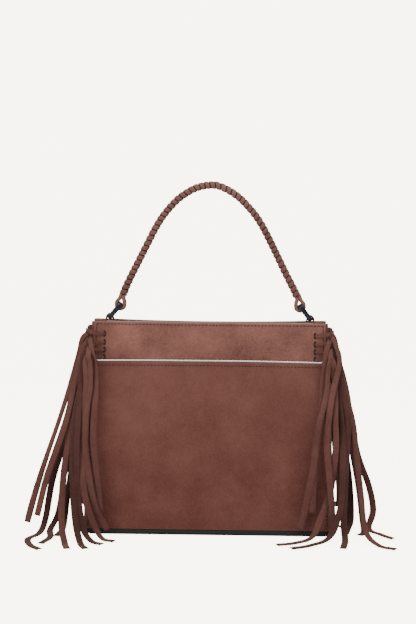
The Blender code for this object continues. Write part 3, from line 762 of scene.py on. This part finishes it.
def wrap_look():
    """The handle's suede, with near-black in the grooves between turns of lace."""
    look = suede_look(
        "suede_wrap", (0.099, 0.0396, 0.0324), (0.207, 0.099, 0.0792), 0.20, 0.42, 0.8
    )
    nodes, links = look.node_tree.nodes, look.node_tree.links
    groove = nodes.new("ShaderNodeAttribute")
    groove.attribute_name = "groove"
    dark = nodes.new("ShaderNodeValToRGB")
    dark.color_ramp.elements[0].position, dark.color_ramp.elements[1].position = 0.20, 0.48
    links.new(groove.outputs["Fac"], dark.inputs["Fac"])
    blend = nodes.new("ShaderNodeMix")
    blend.data_type = "RGBA"
    blend.inputs["B"].default_value = (0.010, 0.005, 0.005, 1)
    shader = nodes["Principled BSDF"]
    links.new(shader.inputs["Base Color"].links[0].from_socket, blend.inputs["A"])
    links.new(dark.outputs["Color"], blend.inputs["Factor"])
    links.new(blend.outputs["Result"], shader.inputs["Base Color"])
    return look


arch_line = smooth_line([(x, 0, z) for x, z in HANDLE_ARCH], WRAP_STEP)
skip = int(WRAP_FROM_END / WRAP_STEP)
arch_line = arch_line[skip:-skip]
arch_along = np.gradient(arch_line, axis=0)
arch_along /= np.linalg.norm(arch_along, axis=1, keepdims=True)
arch_out = np.cross(arch_along, [0, 1, 0])
run = np.arange(len(arch_line)) * WRAP_STEP
around = np.linspace(0, 2 * np.pi, 40, endpoint=False)
slip = WRAP_SLIP * np.sin(run / 0.021) + WRAP_SLIP_FINE * np.sin(run / 0.009 + 1)
phase = (run / WRAP_PITCH + slip)[:, None] + around[None] / (2 * np.pi)
part = phase % 1.0
crown = np.sqrt(np.maximum(0, 1 - np.abs(2 * part - 1) ** 3.2))
end_swell = 1 + WRAP_END_SWELL * (
    np.exp(-run / WRAP_END_RUN) + np.exp(-(run[-1] - run) / WRAP_END_RUN)
)
size = WRAP_RADIUS * end_swell[:, None] + WRAP_CROWN * crown - WRAP_NOTCH * (part < 0.10)
size[0] = size[-1] = WRAP_TIP
wrap_rings = arch_line[:, None] + size[..., None] * (
    np.cos(around)[None, :, None] * arch_out[:, None]
    + np.sin(around)[None, :, None] * np.array([0, 1, 0])
)
wrap = grid_object("handle_wrap", wrap_rings, faces_close_v=True)
face_outwards(wrap.data, fill_ends=True)
groove = (1 - crown).astype(np.float32).ravel()
wrap.data.attributes.new("groove", "FLOAT", "POINT").data.foreach_set("value", groove)
wrap.data.shade_smooth()
wrap.data.materials.append(wrap_look())
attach(wrap, "handle")
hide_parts("handle_lacing")

for side_name, side in (("left", -1), ("right", 1)):
    loop_line = smooth_line(
        [(side * x, 0, z) for x, z in (
            (0.0972, 0.2705), (0.0981, 0.2672), (0.0997, 0.2630), (0.0986, 0.2578),
            (0.0990, 0.2522), (0.1034, 0.2500), (0.1073, 0.2528), (0.1073, 0.2578),
            (0.1042, 0.2620), (0.1025, 0.2664), (0.1002, 0.2705),
        )], STRIP_STEP,
    )
    taper = 1 - 0.45 * np.abs(np.linspace(-1, 1, len(loop_line))) ** 4
    loop = strip_object(
        f"handle_end_{side_name}", loop_line,
        taper[:, None] * np.array([[0, LOOP_HALF_WIDTH, 0]]), LOOP_THICK, BODY_SUEDE,
    )
    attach(loop, "handle")
    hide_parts("handle_strap")

# The laces: strips of the same suede. Each is doubled, pushed through a slit beside the side
# seam, and its tails are pulled through the loop, so that a flat band lies over the seam and
# two square-cut tails hang from it or lie on the floor.

LACE_WIDTH, LACE_THICK, LACE_CROWN = 0.0070, 0.0013, 0.0005
HOLE_X = 0.121
KNOT_Z = (0.223, 0.2135, 0.205, 0.1965)
LACE_RADIUS, LACE_STAND, LACE_STEP = 0.0017, 0.0030, 0.0024
BAND_THICK, BAND_STEP = 0.0017, 0.0007
SLIT_HALF_LENGTH, SLIT_HALF_WIDTH, SLIT_DEPTH, SLIT_BOW = 0.0034, 0.0011, 0.0004, 0.0012
LACE_ROUTES = {
    "left_front_0a": [
        (0.1325, -0.035, 0.207), (0.129, -0.035, 0.192), (0.127, -0.038, 0.178),
        (0.127, -0.041, 0.163), (0.128, -0.045, 0.14), (0.129, -0.049, 0.115),
        (0.1275, -0.053, 0.092), (0.123, -0.058, 0.061), (0.119, -0.063, 0.03),
    ],
    "left_front_0b": [
        (0.145, -0.019, 0.217), (0.149, -0.018, 0.2), (0.159, -0.022, 0.163),
        (0.171, -0.031, 0.123), (0.182, -0.039, 0.089), (0.193, -0.047, 0.052),
        (0.203, -0.055, 0.013),
    ],
    "left_front_1a": [
        (0.136, -0.038, 0.2), (0.134, -0.038, 0.192), (0.1335, -0.039, 0.18),
        (0.1335, -0.042, 0.163), (0.137, -0.045, 0.139), (0.138, -0.049, 0.106),
        (0.136, -0.052, 0.083), (0.131, -0.058, 0.055), (0.123, -0.063, 0.028),
        (0.111, -0.068, 0.009),
    ],
    "left_front_1b": [
        (0.1435, -0.022, 0.207), (0.1475, -0.023, 0.192), (0.1535, -0.029, 0.163),
        (0.161, -0.038, 0.127), (0.171, -0.046, 0.095), (0.182, -0.053, 0.061),
        (0.191, -0.06, 0.022),
    ],
    "left_front_2a": [
        (0.1395, -0.0355, 0.194), (0.139, -0.0375, 0.18), (0.139, -0.039, 0.163),
        (0.143, -0.042, 0.13), (0.1425, -0.048, 0.095), (0.1395, -0.058, 0.058),
        (0.131, -0.069, 0.028), (0.117, -0.081, 0.005), (0.102, -0.089, 0.003),
    ],
    "left_front_2b": [
        (0.1425, -0.0305, 0.2), (0.144, -0.031, 0.188), (0.145, -0.035, 0.172),
        (0.1465, -0.044, 0.13), (0.1475, -0.051, 0.095), (0.1455, -0.06, 0.05),
        (0.138, -0.077, 0.016), (0.127, -0.091, 0.004), (0.114, -0.1, 0.003),
    ],
    "left_front_3a": [
        (0.1395, -0.0295, 0.183), (0.142, -0.0315, 0.172), (0.147, -0.034, 0.157),
        (0.1515, -0.039, 0.13), (0.153, -0.045, 0.095), (0.151, -0.058, 0.055),
        (0.146, -0.076, 0.022), (0.138, -0.098, 0.004), (0.13, -0.116, 0.003),
    ],
    "left_front_3b": [
        (0.143, -0.0255, 0.192), (0.1455, -0.0255, 0.178), (0.1495, -0.028, 0.16),
        (0.156, -0.034, 0.13), (0.16, -0.041, 0.095), (0.163, -0.054, 0.055),
        (0.161, -0.077, 0.018), (0.155, -0.098, 0.004), (0.15, -0.117, 0.003),
    ],
    "left_back_0a": [
        (0.1318, 0.0364, 0.207), (0.129, 0.035, 0.192), (0.127, 0.038, 0.178),
        (0.127, 0.041, 0.163), (0.126, 0.047, 0.14), (0.126, 0.052, 0.095), (0.123, 0.058, 0.061),
        (0.12, 0.062, 0.032),
    ],
    "left_back_0b": [
        (0.145, 0.019, 0.217), (0.149, 0.017, 0.2), (0.157, 0.01, 0.15), (0.168, -0.003, 0.095),
        (0.18, -0.018, 0.05), (0.185, -0.036, 0.013), (0.188, -0.06, 0.003),
        (0.197, -0.084, 0.003), (0.191, -0.106, 0.003), (0.179, -0.12, 0.003),
    ],
    "left_back_1a": [
        (0.136, 0.038, 0.2), (0.134, 0.038, 0.192), (0.1335, 0.039, 0.18), (0.133, 0.043, 0.163),
        (0.132, 0.048, 0.14), (0.132, 0.055, 0.095), (0.131, 0.061, 0.05), (0.127, 0.067, 0.014),
    ],
    "left_back_1b": [
        (0.1435, 0.022, 0.207), (0.1475, 0.022, 0.192), (0.151, 0.02, 0.15), (0.159, 0.012, 0.095),
        (0.169, -0.004, 0.05), (0.173, -0.022, 0.014), (0.178, -0.048, 0.003),
        (0.174, -0.076, 0.003), (0.181, -0.1, 0.003),
    ],
    "left_back_2a": [
        (0.1395, 0.0355, 0.194), (0.139, 0.0375, 0.18), (0.1385, 0.041, 0.163),
        (0.138, 0.047, 0.139), (0.14, 0.054, 0.095), (0.143, 0.06, 0.05), (0.147, 0.068, 0.009),
        (0.142, 0.086, 0.003), (0.129, 0.098, 0.003),
    ],
    "left_back_2b": [
        (0.1425, 0.0305, 0.2), (0.144, 0.031, 0.188), (0.145, 0.036, 0.172), (0.145, 0.042, 0.15),
        (0.149, 0.045, 0.095), (0.152, 0.046, 0.05), (0.154, 0.046, 0.012), (0.152, 0.06, 0.003),
        (0.15, 0.076, 0.003),
    ],
    "left_back_3a": [
        (0.1395, 0.0295, 0.183), (0.142, 0.0315, 0.172), (0.147, 0.033, 0.157),
        (0.149, 0.036, 0.13), (0.151, 0.036, 0.095), (0.153, 0.033, 0.05), (0.154, 0.031, 0.016),
    ],
    "left_back_3b": [
        (0.143, 0.0255, 0.192), (0.1455, 0.0255, 0.178), (0.15, 0.0275, 0.16),
        (0.153, 0.027, 0.13), (0.157, 0.02, 0.095), (0.163, 0.008, 0.05), (0.166, -0.01, 0.012),
        (0.165, -0.036, 0.003), (0.165, -0.056, 0.003), (0.168, -0.072, 0.003),
    ],
    "right_front_0a": [
        (0.131, -0.035, 0.207), (0.13, -0.0355, 0.192), (0.128, -0.037, 0.178),
        (0.127, -0.041, 0.155), (0.124, -0.046, 0.125), (0.119, -0.052, 0.089),
        (0.118, -0.057, 0.061), (0.117, -0.061, 0.029),
    ],
    "right_front_0b": [
        (0.143, -0.026, 0.213), (0.1465, -0.0325, 0.199), (0.144, -0.0375, 0.183),
        (0.138, -0.044, 0.16), (0.135, -0.047, 0.139), (0.1325, -0.05, 0.106),
        (0.135, -0.059, 0.072), (0.138, -0.066, 0.04), (0.14, -0.068, 0.016),
    ],
    "right_front_1a": [
        (0.136, -0.036, 0.2), (0.134, -0.037, 0.19), (0.133, -0.0395, 0.178),
        (0.131, -0.045, 0.159), (0.122, -0.052, 0.12), (0.117, -0.057, 0.078),
        (0.109, -0.061, 0.035), (0.103, -0.063, 0.01),
    ],
    "right_front_1b": [
        (0.147, -0.018, 0.204), (0.1495, -0.017, 0.19), (0.153, -0.019, 0.178),
        (0.158, -0.021, 0.155), (0.162, -0.025, 0.127), (0.171, -0.026, 0.086),
        (0.184, -0.025, 0.052), (0.19, -0.024, 0.023), (0.184, -0.034, 0.005),
        (0.195, -0.054, 0.004), (0.207, -0.066, 0.003),
    ],
    "right_front_2a": [
        (0.1395, -0.0355, 0.194), (0.1395, -0.034, 0.184), (0.1415, -0.036, 0.168),
        (0.142, -0.041, 0.15), (0.142, -0.046, 0.13), (0.143, -0.049, 0.105),
        (0.14, -0.054, 0.072), (0.136, -0.058, 0.05), (0.127, -0.066, 0.027),
        (0.116, -0.076, 0.007), (0.097, -0.086, 0.003), (0.076, -0.094, 0.003),
    ],
    "right_front_2b": [
        (0.143, -0.029, 0.2), (0.148, -0.0275, 0.186), (0.1505, -0.0335, 0.168),
        (0.154, -0.038, 0.148), (0.157, -0.041, 0.127), (0.156, -0.046, 0.095),
        (0.154, -0.054, 0.055), (0.152, -0.064, 0.02), (0.152, -0.08, 0.005),
        (0.147, -0.104, 0.003),
    ],
    "right_front_3a": [
        (0.14, -0.0295, 0.183), (0.1455, -0.031, 0.17), (0.148, -0.038, 0.145),
        (0.151, -0.045, 0.11), (0.15, -0.06, 0.065), (0.146, -0.074, 0.035), (0.134, -0.086, 0.01),
        (0.113, -0.097, 0.004), (0.091, -0.106, 0.003),
    ],
    "right_front_3b": [
        (0.1425, -0.023, 0.189), (0.147, -0.025, 0.178), (0.154, -0.03, 0.16),
        (0.163, -0.036, 0.127), (0.168, -0.039, 0.086), (0.173, -0.048, 0.045),
        (0.176, -0.068, 0.012), (0.187, -0.092, 0.0035), (0.204, -0.104, 0.003),
    ],
    "right_back_0a": [
        (0.1325, 0.035, 0.207), (0.129, 0.035, 0.192), (0.127, 0.038, 0.178),
        (0.126, 0.042, 0.155), (0.124, 0.048, 0.125), (0.122, 0.054, 0.089), (0.121, 0.06, 0.055),
        (0.119, 0.063, 0.026),
    ],
    "right_back_0b": [
        (0.145, 0.019, 0.217), (0.149, 0.017, 0.2), (0.157, 0.01, 0.15), (0.166, 0.001, 0.095),
        (0.174, -0.008, 0.05), (0.178, -0.022, 0.014), (0.178, -0.04, 0.003),
        (0.171, -0.055, 0.003),
    ],
    "right_back_1a": [
        (0.136, 0.038, 0.2), (0.134, 0.038, 0.192), (0.1335, 0.039, 0.18), (0.133, 0.043, 0.163),
        (0.132, 0.048, 0.14), (0.134, 0.055, 0.095), (0.135, 0.063, 0.05), (0.134, 0.072, 0.009),
        (0.122, 0.088, 0.003), (0.11, 0.096, 0.003),
    ],
    "right_back_1b": [
        (0.1435, 0.022, 0.207), (0.1475, 0.022, 0.192), (0.152, 0.02, 0.15), (0.159, 0.013, 0.095),
        (0.165, 0.002, 0.05), (0.166, -0.013, 0.012), (0.16, -0.033, 0.003), (0.156, -0.05, 0.003),
    ],
    "right_back_2a": [
        (0.1395, 0.0355, 0.194), (0.139, 0.0375, 0.18), (0.139, 0.041, 0.163),
        (0.139, 0.047, 0.139), (0.142, 0.054, 0.095), (0.146, 0.06, 0.05), (0.15, 0.064, 0.016),
    ],
    "right_back_2b": [
        (0.1425, 0.0305, 0.2), (0.144, 0.031, 0.188), (0.145, 0.036, 0.172), (0.146, 0.042, 0.15),
        (0.151, 0.045, 0.095), (0.156, 0.047, 0.05), (0.159, 0.05, 0.012), (0.158, 0.066, 0.003),
        (0.16, 0.084, 0.003),
    ],
    "right_back_3a": [
        (0.1395, 0.0295, 0.183), (0.142, 0.0315, 0.172), (0.147, 0.033, 0.157),
        (0.151, 0.036, 0.13), (0.155, 0.036, 0.095), (0.159, 0.034, 0.05), (0.161, 0.031, 0.016),
    ],
    "right_back_3b": [
        (0.143, 0.0255, 0.192), (0.1455, 0.0255, 0.178), (0.15, 0.0275, 0.16),
        (0.154, 0.028, 0.13), (0.158, 0.024, 0.095), (0.162, 0.014, 0.05), (0.164, 0.002, 0.012),
        (0.16, -0.014, 0.003), (0.15, -0.022, 0.003),
    ],
}
SLIT_SHADOW_LOOK = plain_look("slit_shadow", (0.004, 0.002, 0.002), 0.9, 0.0, 500, 0.05, 0.1)


def tail_line(route, side, seam, knot, second):
    """A tail's middle line, from under its knot's band, through the route's points to its tip."""
    z = KNOT_Z[knot]
    reach = half_width(z)
    far = seam * (float(face_depth(reach, z)) + LACE_RADIUS + LACE_STAND)
    if second:
        start = (side * (reach + 0.006), far - seam * 0.001, z + 0.0012)
    else:
        start = (side * (reach + 0.004), far + seam * 0.0034, z - 0.0032)
    return smooth_line([start, *((side * x, y, z) for x, y, z in route)], LACE_STEP)


def tail_across(line, side, seam, wave, sway):
    """Half-width vectors across a tail: it faces front or back where it hangs and up where it
    lies, and turns about its own line by a sway, in radians, as a slow sine along it."""
    along = np.gradient(line, axis=0)
    along /= np.linalg.norm(along, axis=1, keepdims=True)
    run_out = line[-1] - line[np.argmax(line[:, 2] < 0.02)] if line[-1, 2] < 0.02 else [0, 0, 0]
    front = np.sign(run_out[1]) if abs(run_out[1]) > 0.02 else seam
    heading = np.array([run_out[0], run_out[1], 0]) * 8 + [side * 0.2, front * 0.9, 0]
    heading /= np.linalg.norm(heading) + 1e-9
    lying = smoothstep((0.030 - line[:, 2:]) / 0.026) * (line[-1, 2] < 0.02)
    facing = heading * (1 - lying) + np.array([0, 0, 1.0]) * lying
    out = facing - along * (facing * along).sum(1, keepdims=True)
    out /= np.linalg.norm(out, axis=1, keepdims=True)
    across = np.cross(along, out)
    t = np.linspace(0, 1, len(line))[:, None]
    turn = sway * np.sin(2 * np.pi * wave * t + wave * 3) * np.minimum(1, t * 6) * (1 - lying)
    broad = LACE_WIDTH / 2 * (0.84 + 0.24 * np.minimum(1, t * 2))
    return (across * np.cos(turn) + out * np.sin(turn)) * broad


rng = np.random.default_rng(7)
for side_name, side in (("left", -1), ("right", 1)):
    for seam_name, seam in (("front", -1), ("back", 1)):
        for knot, z in enumerate(KNOT_Z):
            node = f"lace_{side_name}_{seam_name}_{knot + 1}"
            seed = 0.0 if seam < 0 else BACK_SEED
            edge_x = half_width(z)
            xs = np.array([HOLE_X - 0.0012, HOLE_X, HOLE_X + 0.003, HOLE_X + 0.007,
                           edge_x - 0.001, edge_x + 0.004, edge_x + 0.0085, edge_x + 0.0095])
            lift = np.array([-0.0012, 0.0010, 0.0018, 0.0026, 0.0046, 0.0036, -0.004, -0.012])
            rise = np.array([0, 0, 0.0002, 0.0008, 0.002, 0.0030, 0.0030, 0.0015])
            depth = face_depth(np.minimum(xs, edge_x), z) + ripple(xs, z, seed)
            band_line = smooth_line(
                np.stack([side * xs, seam * (depth + lift), z + rise], 1), BAND_STEP
            )
            band_up = np.array([0.0, 0.0, 1.0]) * LACE_WIDTH / 2
            swell = np.linspace(0.46, 1.08 if knot == 0 else 0.74, len(band_line)) ** 1.2
            band = strip_object(
                f"{node}_band", band_line, band_up * swell[:, None] * -side * seam,
                BAND_THICK, STRAP_SUEDE, LACE_CROWN,
            )
            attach(band, "bag")
            for tail in "ab":
                route = LACE_ROUTES[f"{side_name}_{seam_name}_{knot}{tail}"]
                line = tail_line(route, side, seam, knot, tail == "b")
                sway = rng.uniform(0.1, 0.7)
                across = tail_across(line, side, seam, rng.uniform(0.6, 1.3), sway)
                # Painted shade: tails deep in the fringe, the middle ones in front and most of
                # those behind, take the darker copy.
                painted_shade_tails = ("2b", "3a") if seam < 0 else ("0b", "1b", "2b", "3b", "1a", "3a")
                tail_shade_look = STRAP_PAINTED_SHADE if f"{knot}{tail}" in painted_shade_tails else STRAP_SUEDE
                piece = strip_object(
                    f"{node}_{tail}", line, across, LACE_THICK, tail_shade_look, LACE_CROWN
                )
                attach(piece, "bag")
                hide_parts(node)
            # Painted shadow: a near-black bar laid on the face over each slit, standing in for the
            # shade inside the hole.
            slit_z = np.linspace(-SLIT_HALF_LENGTH, SLIT_HALF_LENGTH, 14)
            slit_x = HOLE_X - 0.0006 - SLIT_BOW * (1 - (slit_z / SLIT_HALF_LENGTH) ** 2)
            slit_depth = face_depth(slit_x, z + slit_z) + ripple(slit_x, z + slit_z, seed)
            slit_line = np.stack([side * slit_x, seam * (slit_depth + 0.0002), z + slit_z], 1)
            slit = bar_along(
                f"{node}_slit", slit_line, np.tile([0.0, seam, 0.0], (len(slit_line), 1)),
                SLIT_HALF_WIDTH, SLIT_DEPTH, SLIT_SHADOW_LOOK,
            )
            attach(slit, "bag")
